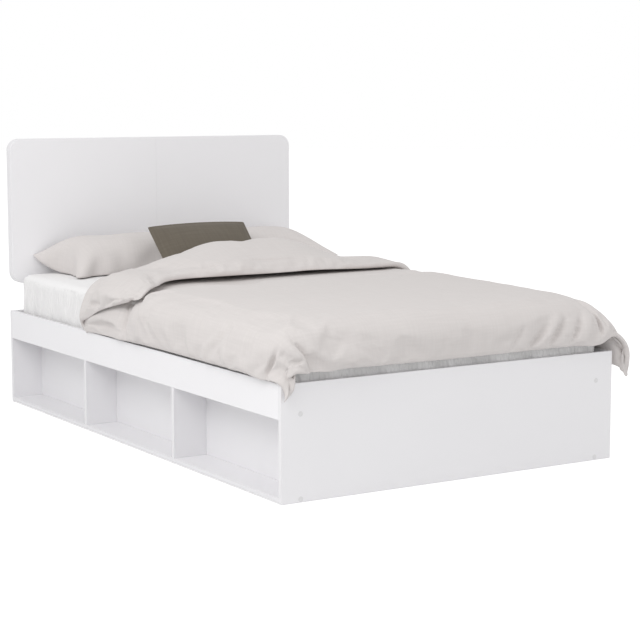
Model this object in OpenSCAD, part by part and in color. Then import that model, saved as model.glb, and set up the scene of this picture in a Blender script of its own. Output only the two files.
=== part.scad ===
// Small double bed: storage base with open side shelves, two-panel headboard and bedding.
// Origin on the floor at the middle of the base. X runs across, Y towards the head, Z up.

/* [Mattress] */
// Width of the mattress
mattress_w = 1200; // [900:10:1600]
// Length of the mattress, a little under its nominal 2000
mattress_l = 1996; // [1800:2:2200]
// Thickness of the mattress at its edges
mattress_t = 200; // [140:5:260]
// Rise of the mattress top in its middle
mattress_crown = 8; // [4:1:16]
// Radius of the mattress corners, seen from above
mattress_corner_r = 40; // [20:5:80]
// Radius of the mattress edges, seen from the side
mattress_edge_r = 35; // [20:5:45]
// Gap between the mattress and each side rail
side_gap = 10; // [4:1:20]
// Gap between the mattress and each end panel
end_gap = 2; // [1:1:10]

/* [Base] */
// Thickness of every coated board
board_t = 15; // [12:1:22]
// Height of the end panels
base_h = 354; // [320:1:420]
// Height of the side rails
rail_h = 106; // [100:1:120]
// Depth of the slat tops below the top of the base
mattress_recess = 66; // [55:1:80]

/* [Side shelves] */
// Depth of a shelf from its open front to the rear face of its back
shelf_depth = 133; // [100:1:200]
// Gap between the floor and the bottom boards
shelf_lift = 3; // [1:1:10]
// Number of open compartments on each side
cubby_n = 3; // [2:1:4]

/* [Slats and beam] */
// Number of slats
slat_n = 13; // [10:1:15]
// Width of a slat
slat_w = 80; // [60:5:100]
// Thickness of a slat
slat_t = 18; // [15:1:25]
// Gap between a slat's end and the side rail
slat_end_gap = 3; // [1:1:8]
// Gap between the outer slats and the end panels
slat_edge_gap = 45; // [20:5:80]
// Width of the centre beam
beam_w = 40; // [35:5:60]
// Height of the centre beam
beam_h = 60; // [50:5:90]
// Width of the square centre leg
leg_w = 36; // [30:2:50]
// Height of the glide under the centre leg
glide_h = 6; // [4:1:12]
// Diameter of the glide under the centre leg
glide_d = 34; // [24:1:48]
// Thickness of the steel of the beam hangers
hanger_t = 2; // [1.5:0.5:3]
// Length of a beam hanger along the beam
hanger_l = 40; // [30:5:60]

/* [Headboard] */
// Distance of the headboard's sides from the sides of the base
head_inset = 7; // [0:1:40]
// Height of the headboard, from its lower to its upper edge
head_h = 550; // [450:10:700]
// Height of the headboard's lower edge above the floor
head_z = 458; // [420:1:520]
// Radius of the headboard's outer corners
head_corner_r = 45; // [20:5:55]
// Width of the seam between the two front panels
head_seam = 1.5; // [1:0.5:4]
// Width of the small bevel round the front panels
head_bevel = 2; // [1:0.5:4]
// Thickness of the frame behind the front panels
head_back_t = 20; // [18:1:30]
// Width of the stiles and rails behind the front panels
head_batten_w = 60; // [56:2:90]
// Width of a headboard leg
head_leg_w = 90; // [70:5:120]
// Distance of each headboard leg's middle from the side of the base
head_leg_inset = 225; // [180:5:300]

/* [Fasteners] */
// Diameter of the wood screws
screw_d = 4; // [3:0.5:4.5]
// Diameter of a wood screw's head
screw_head_d = 8; // [7:0.5:9]
// Diameter of the long screws that hold the end panels
panel_screw_d = 5; // [4.5:0.5:6]
// Length of the long screws that hold the end panels
panel_screw_l = 50; // [40:5:60]
// Diameter of the round screw covers
cover_d = 16; // [13:1:20]
// Thickness of the round screw covers
cover_t = 0.8; // [0.6:0.1:1.5]
// Distance of the screw covers from the side of the base
cover_inset = 66; // [45:1:85]
// Diameter of the wooden dowels
dowel_d = 8; // [6:1:8]
// Length of the wooden dowels
dowel_l = 30; // [25:1:35]
// Depth of a dowel in the face of a board
dowel_sink = 10; // [8:1:10]
// Diameter of the headboard bolts
bolt_d = 8; // [6:1:8]
// Diameter of the flat heads of the headboard bolts
bolt_head_d = 18; // [16:1:22]
// Thickness of the bolt heads
bolt_head_t = 4; // [3:1:6]
// Width across the flats of the bolts' nuts
nut_w = 13; // [13:1:15]
// Thickness of the bolts' nuts
nut_t = 6.5; // [5:0.5:8]
// Play between a fastener and its hole, on the radius
fit_gap = 0.05; // [0.03:0.01:0.15]

/* [Duvet] */
// Thickness of the duvet in its middle
duvet_t = 28; // [20:2:36]
// Thickness of the duvet at its sewn edges
duvet_edge_t = 8; // [6:1:12]
// Radius of the duvet where it turns down over the mattress
duvet_bend_r = 75; // [70:5:90]
// Drop of the duvet over each side
duvet_side_drop = 150; // [110:5:150]
// Drop of the duvet over the foot end
duvet_foot_drop = 122; // [100:2:140]
// Distance of the duvet's crease from the head panel
duvet_crease = 585; // [560:5:700]
// Length of the head end that is turned down
duvet_flap = 300; // [200:10:400]
// Height that the roll at the crease adds in the middle
duvet_roll = 78; // [50:2:100]
// Distance of the roll's middle to the right of the bed's middle
duvet_roll_x = 40; // [0:5:80]
// Distance by which the crease's left end lies nearer to the foot than its middle
duvet_slant = 80; // [0:5:100]
// Length by which the turned-down part hangs down less at its left corner
duvet_short = 85; // [0:5:100]
// Height of the drawn folds near the foot corners
duvet_fold = 7; // [3:1:10]

/* [Pillows] */
// Width of a pillow, across the bed
pillow_w = 596; // [450:2:596]
// Depth of a pillow, along the bed
pillow_d = 360; // [320:5:400]
// Thickness of a pillow in its middle
pillow_t = 165; // [110:5:180]
// Thickness that the right pillow has more than the left
pillow_more = 20; // [0:2:30]
// Share by which a pillow's sides are drawn in
pillow_draw = 0.06; // [0.03:0.01:0.1]
// Distance of the pillows' joint to the right of the bed's middle
pillow_x = 20; // [0:5:25]
// Distance by which the outer head corners are tucked in
pillow_tuck = 40; // [0:5:60]
// Rise of a pillow's head edge over its foot edge
pillow_rise = 30; // [20:2:60]
// Turn of the pillows' foot edges, as a slope across the bed
pillow_skew = 0.08; // [0:0.01:0.1]

/* [Cushion] */
// Width of the cushion
cushion_w = 420; // [300:5:500]
// Height of the cushion
cushion_h = 265; // [220:5:300]
// Thickness of the cushion in its middle
cushion_t = 76; // [60:2:90]
// Share by which the cushion's sides are drawn in
cushion_draw = 0.05; // [0.02:0.01:0.08]
// Angle of the cushion above the mattress
cushion_lean = 45; // [38:1:55]
// Distance of the cushion's middle to the right of the bed's middle
cushion_x = 15; // [0:5:100]
// Distance of the cushion's lower edge from the pillows
cushion_gap = 132; // [132:2:180]

/* [Hidden] */
$fn = 48;
white = "#f4f3f2";
linen = "#cdc6bc";

base_w = mattress_w + 2 * side_gap + 2 * board_t;
base_l = mattress_l + 2 * end_gap + 2 * board_t;
side_x = base_w / 2; // outer face of a side rail
rail_x = side_x - board_t; // inner face of a side rail
end_y = base_l / 2; // outer face of an end panel
panel_y = end_y - board_t; // inner face of an end panel

rail_z = base_h - rail_h; // underside of a side rail
slat_top_z = base_h - mattress_recess;
slat_z = slat_top_z - slat_t; // underside of a slat
top_shelf_z = slat_z - board_t; // underside of a top shelf
floor_shelf_z = shelf_lift + board_t; // top of a bottom shelf
shelf_back_x = side_x - shelf_depth; // rear face of a shelf back
cubby_l = (2 * panel_y - (cubby_n - 1) * board_t) / cubby_n;
slat_l = 2 * (rail_x - slat_end_gap);
slat_pitch = (2 * (panel_y - slat_edge_gap) - slat_w) / (slat_n - 1);
beam_z = slat_z - beam_h; // underside of the centre beam
panel_screw_head_d = 2 * panel_screw_d;
screw_tip = 3; // wood left beyond a screw's tip
hanger_ear = 2.5 * screw_head_d; // width of the ears that take the screws
bolt_l = head_back_t + board_t + nut_t;

head_w = base_w - 2 * head_inset;
head_leg_x = side_x - head_leg_inset; // distance of a leg's middle from the bed's middle
head_top_z = head_z + head_h;
head_back_y = end_y + head_back_t; // rear face of the headboard
head_leg_top_z = head_top_z - head_batten_w; // the legs stop under the top rail
head_screw_l = head_back_t + board_t - screw_tip;
stile_x = head_w / 2 - head_batten_w; // inner side of a stile
leg_inner_x = head_leg_x - head_leg_w / 2;
leg_outer_x = head_leg_x + head_leg_w / 2;
bolt_z = [base_h * 0.25, base_h * 0.6];

rest_gap = 0.4; // air between a soft piece and what it rests on
mattress_top_z = slat_top_z + rest_gap + mattress_t;
bed_top_z = mattress_top_z + mattress_crown + rest_gap; // level that the bedding rests on

// A board between two corners
module board(low, high) {
    translate(low) cube(high - low);
}

// Screw that points down from the origin, with a flush conical head
module screw(d, head_d, l, play = 0) {
    head_t = (head_d - d) / 2;
    translate([0, 0, -l]) cylinder(d = d + 2 * play, h = l);
    translate([0, 0, -head_t])
        cylinder(d1 = d + 2 * play, d2 = head_d + 2 * play, h = head_t);
}

// Places its children at the outer faces of the end panels, pointing out
module at_panel_screws() {
    for (end = [-1, 1], side = [-1, 1], z = [shelf_lift + board_t / 2, top_shelf_z + board_t / 2])
        translate([side * (side_x - cover_inset), end * end_y, z]) rotate([-90 * end, 0, 0]) children();
}

module panel_screw(play = 0) {
    screw(panel_screw_d, panel_screw_head_d, panel_screw_l, play);
}

// Screws through the shelves into the dividers and the shelf backs, four rows of them
module at_carcass_screws(side) {
    screw_x = [side_x - shelf_depth * 0.3, side_x - shelf_depth * 0.7];
    for (up = [0, 1]) {
        z = up == 1 ? top_shelf_z + board_t : shelf_lift;
        for (i = [1:cubby_n - 1], x = screw_x)
            translate([side * x, divider_y(i), z]) rotate([up == 1 ? 0 : 180, 0, 0]) children();
        for (i = [1:cubby_n], part = [-0.3, 0.3])
            translate([side * (shelf_back_x + board_t / 2), cubby_y(i) + part * cubby_l, z])
                rotate([up == 1 ? 0 : 180, 0, 0]) children();
    }
}

module carcass_screw(play = 0) {
    screw(screw_d, screw_head_d, 3 * board_t, play);
}

// Dowels between a side rail and the front edge of the top shelf
module at_rail_dowels(side) {
    for (i = [0:2 * cubby_n - 1])
        translate([side * rail_x, (i + 0.5 - cubby_n) * panel_y / cubby_n, top_shelf_z + board_t / 2])
            rotate([0, side * 90, 0]) children();
}

// Dowels between the ends of the side rails and the end panels
module at_corner_dowels() {
    for (end = [-1, 1], side = [-1, 1], part = [0.3, 0.7])
        translate([side * (side_x - board_t / 2), end * panel_y, rail_z + part * rail_h])
            rotate([-90 * end, 0, 0]) children();
}

// Dowel along Z that enters the board above the origin by dowel_sink
module dowel(play = 0) {
    translate([0, 0, dowel_sink - dowel_l - play])
        cylinder(d = dowel_d + 2 * play, h = dowel_l + 2 * play);
}

function divider_y(i) = -panel_y + i * (cubby_l + board_t) - board_t / 2;
function cubby_y(i) = -panel_y + (i - 0.5) * cubby_l + (i - 1) * board_t;
function slat_y(i) = -panel_y + slat_edge_gap + slat_w / 2 + (i - 1) * slat_pitch;

module end_panel(end) {
    color(white) difference() {
        board([-side_x, end > 0 ? panel_y : -end_y, 0], [side_x, end > 0 ? end_y : -panel_y, base_h]);
        at_panel_screws() panel_screw(fit_gap);
        at_corner_dowels() dowel(fit_gap);
        at_hanger_screws(end) hanger_screw(fit_gap);
        if (end > 0) at_bolts() bolt(fit_gap);
    }
}

module foot_panel() { end_panel(-1); }
module head_panel() { end_panel(1); }

module side_rail(side) {
    color(white) difference() {
        board([side > 0 ? rail_x : -side_x, -panel_y, rail_z],
            [side > 0 ? side_x : -rail_x, panel_y, base_h]);
        at_rail_dowels(side) dowel(fit_gap);
        at_corner_dowels() dowel(fit_gap);
    }
}

module left_side_rail() { side_rail(-1); }
module right_side_rail() { side_rail(1); }

// Bottom board of the side shelves, flush with the outside of the base
module bottom_shelf(side) {
    color(white) difference() {
        board([side > 0 ? shelf_back_x : -side_x, -panel_y, shelf_lift],
            [side > 0 ? side_x : -shelf_back_x, panel_y, floor_shelf_z]);
        at_panel_screws() panel_screw(fit_gap);
        at_carcass_screws(side) carcass_screw(fit_gap);
    }
}

module left_bottom_shelf() { bottom_shelf(-1); }
module right_bottom_shelf() { bottom_shelf(1); }

// Top board of the side shelves, behind the rail, which carries the slats
module top_shelf(side) {
    color(white) difference() {
        board([side > 0 ? shelf_back_x : -rail_x, -panel_y, top_shelf_z],
            [side > 0 ? rail_x : -shelf_back_x, panel_y, slat_z]);
        at_panel_screws() panel_screw(fit_gap);
        at_carcass_screws(side) carcass_screw(fit_gap);
        at_rail_dowels(side) dowel(fit_gap);
        for (i = [1:slat_n]) at_slat_screws(i) slat_screw(fit_gap);
    }
}

module left_top_shelf() { top_shelf(-1); }
module right_top_shelf() { top_shelf(1); }

module shelf_back(side) {
    color(white) difference() {
        board([side > 0 ? shelf_back_x : -shelf_back_x - board_t, -panel_y, floor_shelf_z],
            [side > 0 ? shelf_back_x + board_t : -shelf_back_x, panel_y, top_shelf_z]);
        at_carcass_screws(side) carcass_screw(fit_gap);
    }
}

module left_shelf_back() { shelf_back(-1); }
module right_shelf_back() { shelf_back(1); }

// Upright between two compartments, with its top corner notched behind the rail
module divider(side, i) {
    low_y = divider_y(i) - board_t / 2;
    color(white) difference() {
        board([side > 0 ? shelf_back_x + board_t : -side_x, low_y, floor_shelf_z],
            [side > 0 ? side_x : -shelf_back_x - board_t, low_y + board_t, top_shelf_z]);
        board([side > 0 ? rail_x : -side_x - 1, low_y - 1, rail_z],
            [side > 0 ? side_x + 1 : -rail_x, low_y + board_t + 1, top_shelf_z + 1]);
        at_carcass_screws(side) carcass_screw(fit_gap);
    }
}

module centre_beam() {
    color("burlywood") difference() {
        board([-beam_w / 2, -panel_y + hanger_t, beam_z], [beam_w / 2, panel_y - hanger_t, slat_z]);
        for (i = [1:slat_n]) at_slat_screws(i) slat_screw(fit_gap);
        leg_stud_shape(fit_gap);
    }
}

module centre_leg() {
    color("burlywood") difference() {
        board([-leg_w / 2, -leg_w / 2, glide_h], [leg_w / 2, leg_w / 2, beam_z]);
        leg_stud_shape(fit_gap);
        glide_stem(fit_gap);
    }
}

// Threaded rod between the beam and the leg
module leg_stud_shape(play = 0) {
    translate([0, 0, beam_z - beam_h / 2 - play])
        cylinder(d = bolt_d + 2 * play, h = beam_h + 2 * play);
}

module leg_stud() { color("silver") leg_stud_shape(); }

module glide_stem(play = 0) {
    translate([0, 0, glide_h / 2]) cylinder(d = bolt_d + 2 * play, h = 3 * glide_h + play);
}

module leg_glide() {
    color("dimgray") union() {
        cylinder(d = glide_d, h = glide_h);
        glide_stem();
    }
}

// Steel hanger that carries one end of the centre beam
module beam_hanger(end) {
    low_x = -beam_w / 2 - hanger_t;
    color("silver") difference() {
        scale([1, end, 1]) union() {
            board([low_x, panel_y - hanger_t, beam_z - hanger_t], [-low_x, panel_y, slat_z]);
            board([low_x, panel_y - hanger_l, beam_z - hanger_t], [-low_x, panel_y - hanger_t, beam_z]);
            for (x = [low_x, beam_w / 2])
                board([x, panel_y - hanger_l, beam_z], [x + hanger_t, panel_y - hanger_t, slat_z - beam_h / 4]);
            for (x = [low_x - hanger_ear, -low_x])
                board([x, panel_y - hanger_t, beam_z], [x + hanger_ear, panel_y, slat_z - beam_h / 4]);
        }
        at_hanger_screws(end) hanger_screw(fit_gap);
    }
}

module foot_beam_hanger() { beam_hanger(-1); }
module head_beam_hanger() { beam_hanger(1); }

module at_hanger_screws(end) {
    for (side = [-1, 1], part = [0.2, 0.55])
        translate([
            side * (beam_w / 2 + hanger_t + hanger_ear / 2), end * (panel_y - hanger_t), beam_z + part * beam_h
        ]) rotate([90 * end, 0, 0]) children();
}

// Short screw with a flat head that sits on the hanger
module hanger_screw(play = 0) {
    translate([0, 0, screw_tip - board_t]) cylinder(d = screw_d + 2 * play, h = board_t - screw_tip);
    if (play == 0) cylinder(d = screw_head_d, h = screw_d / 2);
}

module slat(i) {
    y = slat_y(i);
    color("burlywood") difference() {
        board([-slat_l / 2, y - slat_w / 2, slat_z], [slat_l / 2, y + slat_w / 2, slat_top_z]);
        at_slat_screws(i) slat_screw(fit_gap);
    }
}

// One screw at each end of a slat and one over the beam
module at_slat_screws(i) {
    for (x = [-1, 0, 1] * (shelf_back_x + rail_x) / 2)
        translate([x, slat_y(i), slat_top_z]) children();
}

module slat_screw(play = 0) {
    screw(screw_d, screw_head_d, slat_t + board_t - screw_tip, play);
}

module panel_screws() {
    color("silver") at_panel_screws() panel_screw();
}

module screw_covers() {
    color(white) at_panel_screws() cylinder(d = cover_d, h = cover_t);
}

module carcass_screws() {
    color("silver") for (side = [-1, 1]) at_carcass_screws(side) carcass_screw();
}

module rail_dowels() {
    color("burlywood") for (side = [-1, 1]) at_rail_dowels(side) dowel();
}

module corner_dowels() {
    color("burlywood") at_corner_dowels() dowel();
}

module slat_screws() {
    color("silver") for (i = [1:slat_n]) at_slat_screws(i) slat_screw();
}

module hanger_screws() {
    color("silver") for (end = [-1, 1]) at_hanger_screws(end) hanger_screw();
}

// Outline of the whole headboard, seen from the front
module head_outline(inset = 0) {
    x = head_w / 2 - head_corner_r;
    hull() for (sx = [-x, x], z = [head_z + head_corner_r, head_top_z - head_corner_r])
        translate([sx, z]) circle(r = head_corner_r - inset);
}

// Cuts a slab between two depths and two widths out of the rounded headboard
module head_slab(low_x, high_x, low_z, high_z, y, t, inset = 0) {
    translate([0, y + t, 0]) rotate([90, 0, 0]) linear_extrude(t) intersection() {
        head_outline(inset);
        translate([low_x, low_z]) square([high_x - low_x, high_z - low_z]);
    }
}

// Front panel, with a narrow bevel round its front edge
module head_front_panel(side) {
    low_x = side > 0 ? head_seam / 2 : -head_w / 2;
    high_x = side > 0 ? head_w / 2 : -head_seam / 2;
    color(white) difference() {
        hull() {
            head_slab(low_x, high_x, head_z, head_top_z, panel_y + head_bevel, board_t - head_bevel);
            head_slab(low_x + head_bevel, high_x - head_bevel, head_z, head_top_z, panel_y, head_bevel, head_bevel);
        }
        at_head_screws() head_screw(fit_gap);
    }
}

module headboard_left_panel() { head_front_panel(-1); }
module headboard_right_panel() { head_front_panel(1); }

module head_back_piece(low_x, high_x, low_z, high_z) {
    color(white) difference() {
        head_slab(low_x, high_x, low_z, high_z, end_y, head_back_t);
        at_head_screws() head_screw(fit_gap);
    }
}

module headboard_left_stile() { head_back_piece(-head_w / 2, -stile_x, head_z, head_top_z); }
module headboard_right_stile() { head_back_piece(stile_x, head_w / 2, head_z, head_top_z); }
module headboard_top_rail() { head_back_piece(-stile_x, stile_x, head_leg_top_z, head_top_z); }
module headboard_left_rail() { head_back_piece(-stile_x, -leg_outer_x, head_z, head_z + head_batten_w); }
module headboard_centre_rail() { head_back_piece(-leg_inner_x, leg_inner_x, head_z, head_z + head_batten_w); }
module headboard_right_rail() { head_back_piece(leg_outer_x, stile_x, head_z, head_z + head_batten_w); }

// Leg from the floor up to the underside of the top rail
module head_leg(side) {
    x = side * head_leg_x;
    color(white) difference() {
        board([x - head_leg_w / 2, end_y, 0], [x + head_leg_w / 2, head_back_y, head_leg_top_z]);
        at_head_screws() head_screw(fit_gap);
        at_bolts() bolt(fit_gap);
    }
}

module headboard_left_leg() { head_leg(-1); }
module headboard_right_leg() { head_leg(1); }

// Screws from behind through the frame of the headboard into its front panels
module at_head_screws() {
    stile_mid_x = head_w / 2 - head_batten_w / 2;
    for (side = [-1, 1]) {
        for (part = [0.15, 0.5, 0.85])
            translate([side * stile_mid_x, head_back_y, head_z + part * head_h]) rotate([-90, 0, 0]) children();
        for (part = [0.25, 0.5, 0.75])
            translate([side * part * stile_x, head_back_y, head_top_z - head_batten_w / 2])
                rotate([-90, 0, 0]) children();
        for (x = [leg_inner_x / 2, (leg_outer_x + stile_x) / 2])
            translate([side * x, head_back_y, head_z + head_batten_w / 2]) rotate([-90, 0, 0]) children();
        for (part = [0.25, 0.7])
            translate([side * head_leg_x, head_back_y, head_z + part * head_h]) rotate([-90, 0, 0]) children();
    }
}

module head_screw(play = 0) {
    screw(screw_d, screw_head_d, head_screw_l, play);
}

module headboard_screws() {
    color("silver") at_head_screws() head_screw();
}

// Bolts from behind through the headboard legs and the head panel
module at_bolts() {
    for (side = [-1, 1], z = bolt_z)
        translate([side * head_leg_x, head_back_y, z]) rotate([-90, 0, 0]) children();
}

module bolt(play = 0) {
    translate([0, 0, -bolt_head_t - play]) cylinder(d = bolt_head_d + 2 * play, h = bolt_head_t + play);
    translate([0, 0, -bolt_l]) cylinder(d = bolt_d + 2 * play, h = bolt_l);
}

module headboard_bolts() {
    color("silver") at_bolts() bolt();
}

module headboard_nuts() {
    color("silver") at_bolts() translate([0, 0, -bolt_l]) difference() {
        cylinder(d = nut_w / cos(30), h = nut_t, $fn = 6);
        translate([0, 0, -1]) cylinder(d = bolt_d + 2 * fit_gap, h = nut_t + 2);
    }
}

// Soft forms. A skin is a grid of points that closes round one direction or between two layers.

function lerp(a, b, part) = a + (b - a) * part;
function unit(v) = v / norm(v);
function smooth(part) = part * part * (3 - 2 * part);

// Ring of a box with round corners, drawn in by inset, at height z
corner_steps = 6;
function ring(w, l, r, inset, z) = [
    for (q = [0:3], k = [0:corner_steps])
        let (a = 90 * q + 90 * k / corner_steps, sx = q == 0 || q == 3 ? 1 : -1, sy = q < 2 ? 1 : -1)
        [
            sx * (w / 2 - r) + max(r - inset, 1) * cos(a) + sx * min(r - inset - 1, 0),
            sy * (l / 2 - r) + max(r - inset, 1) * sin(a) + sy * min(r - inset - 1, 0),
            z
        ]
];

// Closed skin through rings of equal length, with a fan at each end
module ring_skin(rings, low, high) {
    n = len(rings[0]);
    m = len(rings);
    side_faces = [
        for (j = [0:m - 2], i = [0:n - 1])
            let (a = j * n + i, b = j * n + (i + 1) % n)
            each [[a, b + n, b], [a, a + n, b + n]]
    ];
    low_faces = [for (i = [0:n - 1]) [m * n, i, (i + 1) % n]];
    high_faces = [for (i = [0:n - 1]) [m * n + 1, (m - 1) * n + (i + 1) % n, (m - 1) * n + i]];
    polyhedron([for (r = rings) each r, low, high], concat(side_faces, low_faces, high_faces));
}

edge_steps = 5;
crown_steps = 5;
foot_edge_r = mattress_edge_r / 2;

module mattress() {
    low_rings = [
        for (k = [0:edge_steps])
            let (a = 90 * k / edge_steps)
            ring(mattress_w, mattress_l, mattress_corner_r, foot_edge_r * (1 - sin(a)), foot_edge_r * (1 - cos(a)))
    ];
    high_rings = [
        for (k = [0:edge_steps])
            let (a = 90 * k / edge_steps)
            ring(mattress_w, mattress_l, mattress_corner_r, mattress_edge_r * (1 - cos(a)),
                mattress_t - mattress_edge_r * (1 - sin(a)))
    ];
    // The top rises towards its middle along a quarter of an ellipse
    crown_rings = [
        for (k = [1:crown_steps])
            let (part = k / (crown_steps + 1), inset = lerp(mattress_edge_r, mattress_w / 2, part))
            ring(mattress_w, mattress_l, mattress_corner_r, inset,
                mattress_t + mattress_crown * sqrt(1 - pow(1 - part, 2)))
    ];
    color("white") translate([0, 0, slat_top_z + rest_gap])
        ring_skin(concat(low_rings, high_rings, crown_rings), [0, 0, 0], [0, 0, mattress_t + mattress_crown]);
}

// Closed skin between a top grid and a bottom grid of points, whose borders it joins
module layer_skin(top, bottom) {
    m = len(top);
    n = len(top[0]);
    all = m * n;
    top_faces = [
        for (j = [0:m - 2], i = [0:n - 2])
            let (a = j * n + i, b = a + 1, c = a + n, d = c + 1)
            each [[a, c, d], [a, d, b]]
    ];
    bottom_faces = [
        for (j = [0:m - 2], i = [0:n - 2])
            let (a = all + j * n + i, b = a + 1, c = a + n, d = c + 1)
            each [[a, d, c], [a, b, d]]
    ];
    border = concat(
        [for (i = [0:n - 2]) i],
        [for (j = [0:m - 2]) j * n + n - 1],
        [for (i = [n - 1:-1:1]) (m - 1) * n + i],
        [for (j = [m - 1:-1:1]) j * n]
    );
    edge_faces = [
        for (k = [0:len(border) - 1])
            let (a = border[k], b = border[(k + 1) % len(border)])
            each [[a, b, b + all], [a, b + all, a + all]]
    ];
    polyhedron([for (g = [top, bottom], r = g) each r], concat(top_faces, bottom_faces, edge_faces));
}

// The duvet. Each row across the bed is [y, drop, layer, bulge, flare, slant, short]:
// its place along the bed, how far it has dropped over the foot, its height above the lower layer,
// the share of the roll's height that it takes in its middle, how far its ends flare out,
// how much of the crease's slant it takes, and how much its left end is drawn in.

duvet_mid_z = bed_top_z + duvet_t / 2;
duvet_layer = duvet_t + 14; // height of the turned-down part above the part below it
duvet_side_angle = 80;
left_flare = 12; // angles by which the foot corners stand out from the sides
right_flare = 38;
left_merge = 1.7; // how far the drops over the foot and the side merge at the left corner
roll_half_w = mattress_w * 0.385; // half the width of the roll, and the width of its slopes
roll_slope = mattress_w * 0.3;
duvet_side_air = 10; // air between the mattress and the hanging duvet
duvet_bend_x = mattress_w / 2 + duvet_t / 2 + duvet_side_air - duvet_bend_r;
duvet_bend_y = -mattress_l / 2 - duvet_t / 2 - duvet_side_air + duvet_bend_r;
crease_y = panel_y - duvet_crease;
crease_run = duvet_layer; // stretch over which the roll rises and turns back

// Length of cloth across half the bed
duvet_half_w = duvet_bend_x + duvet_bend_r * duvet_side_angle * PI / 180
    + (duvet_side_drop - duvet_bend_r * (1 - cos(duvet_side_angle))) / sin(duvet_side_angle);
foot_run = (duvet_foot_drop - duvet_bend_r * (1 - cos(duvet_side_angle))) / sin(duvet_side_angle);

// The foot end: a straight hem stretch, then the bend up to the top
foot_rows = concat(
    [for (k = [2:-1:1]) let (s = foot_run * k / 2, a = duvet_side_angle) [
        duvet_bend_y - duvet_bend_r * sin(a) - s * cos(a),
        duvet_bend_r * (1 - cos(a)) + s * sin(a),
        0, 0, lerp(0.6, 1, k / 2), 0, 0
    ]],
    [for (k = [5:-1:1]) let (a = duvet_side_angle * k / 5) [
        duvet_bend_y - duvet_bend_r * sin(a), duvet_bend_r * (1 - cos(a)), 0, 0, 0.6 * smooth(k / 5), 0, 0
    ]]
);
top_steps = 8;
lift_y = crease_y - 130; // where the lower layer starts to lift
top_rows = [for (k = [0:top_steps - 1]) [lerp(duvet_bend_y, lift_y, k / top_steps), 0, 0, 0, 0, 0, 0]];
// The roll: the lower layer lifts, turns over half a circle and comes back above itself
roll_rows = [
    [lift_y, 0, 0, 0, 0, 0, 0],
    [lerp(lift_y, crease_y, 0.5), 0, 0, 0.08, 0, 0.5, 0],
    for (k = [0:4]) let (a = -60 + 150 * k / 4) [
        crease_y - crease_run + crease_run * cos(a), 0, duvet_layer / 2 * (1 + sin(a)), lerp(0.3, 1, k / 4), 0, 1, 0
    ]
];
flap_steps = 5;
flap_rows = [
    for (k = [1:flap_steps]) let (part = k / flap_steps) [
        crease_y - crease_run - (duvet_flap - crease_run) * part, 0, duvet_layer, 1 - 0.85 * smooth(part), 0,
        1, part
    ]
];
duvet_rows = concat(foot_rows, top_rows, roll_rows, flap_rows);

// Columns from the middle to a side hem: the flat top, the bend and the hanging side
flat_share = duvet_bend_x / duvet_half_w;
bend_share = duvet_bend_r * duvet_side_angle * PI / 180 / duvet_half_w;
half_us = concat(
    [for (k = [0:3]) flat_share * k / 4],
    [for (k = [0:4]) flat_share + bend_share * k / 5],
    [for (k = [0:1]) lerp(flat_share + bend_share, 1, k)]
);
half_n = len(half_us) - 1;
duvet_us = concat([for (k = [half_n:-1:1]) -half_us[k]], half_us);
duvet_cols = 2 * half_n;

// A point of the duvet's middle surface: row r, share u across the bed from -1 to 1
function duvet_mid(r, u) =
    let (
        angle = duvet_side_angle - (u < 0 ? left_flare : right_flare) * r[4],
        radius = duvet_bend_r + r[2],
        a = abs(u) * (duvet_half_w - (u < 0 ? duvet_short * r[6] : 0)),
        bend_l = radius * angle * PI / 180,
        turn = min(max(a - duvet_bend_x, 0) / bend_l, 1) * angle,
        straight = max(a - duvet_bend_x - bend_l, 0),
        x = min(a, duvet_bend_x) + radius * sin(turn) + straight * cos(angle),
        fall = radius * (1 - cos(turn)) + straight * sin(angle),
        merge = u < 0 ? left_merge : 1,
        drop = pow(pow(fall, merge) + pow(r[1], merge), 1 / merge),
        off = abs(sign(u) * x - duvet_roll_x),
        swell = duvet_roll * r[3] * smooth(min(max((roll_half_w - off) / roll_slope, 0), 1))
    )
    [
        sign(u) * x,
        r[0] + r[5] * duvet_slant * u * (u < 0 ? 1 : 0.4),
        duvet_mid_z + r[2] - drop + swell
    ];

// Folds run diagonally into the foot corners and fade out towards the middle
function duvet_wave(u, part) =
    duvet_fold * cos(900 * (part * 1.1 + abs(u))) * pow(abs(u), 3) * max(1 - 2.5 * part, 0);

function duvet_half_t(u, part) =
    duvet_edge_t / 2 + (duvet_t - duvet_edge_t) / 2
        * (1 - pow(abs(u), 6)) * min(1, 5 * part + 0.15) * min(1, 6 * (1 - part) + 0.15);

module duvet() {
    m = len(duvet_rows);
    mid = [for (r = duvet_rows) [for (u = duvet_us) duvet_mid(r, u)]];
    normals = [
        for (j = [0:m - 1]) [
            for (i = [0:duvet_cols])
                let (
                    across = mid[j][min(i + 1, duvet_cols)] - mid[j][max(i - 1, 0)],
                    along = mid[min(j + 1, m - 1)][i] - mid[max(j - 1, 0)][i]
                )
                unit(cross(across, along))
        ]
    ];
    function layer(sign_t) = [
        for (j = [0:m - 1]) [
            for (i = [0:duvet_cols])
                let (u = duvet_us[i], part = j / (m - 1), h = duvet_half_t(u, part))
                mid[j][i] + normals[j][i] * (sign_t * h + max(duvet_wave(u, part), 0))
        ]
    ];
    color(linen) layer_skin(layer(1), layer(-1));
}

// A stuffed pad in the XY plane: its edge is drawn in between the four corners
pad_cols = 16;
pad_rows = 12;
pad_rim = 5; // thickness of a pad at its sewn edge
pillow_sink = 0.28; // share of its thickness that a pillow's foot edge stands above the mattress
function pad_top(u, v) = pow(max((1 - u * u) * (1 - v * v), 0), 0.36);
function pad_point(w, d, t, draw, u, v, up) = [
    u * w / 2 * (1 - draw * (1 - v * v)), v * d / 2 * (1 - draw * (1 - u * u)), up * t / 2 * pad_top(u, v)
];
function spread(c) = sign(c) * (1 - pow(1 - abs(c), 1.3));

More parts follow.
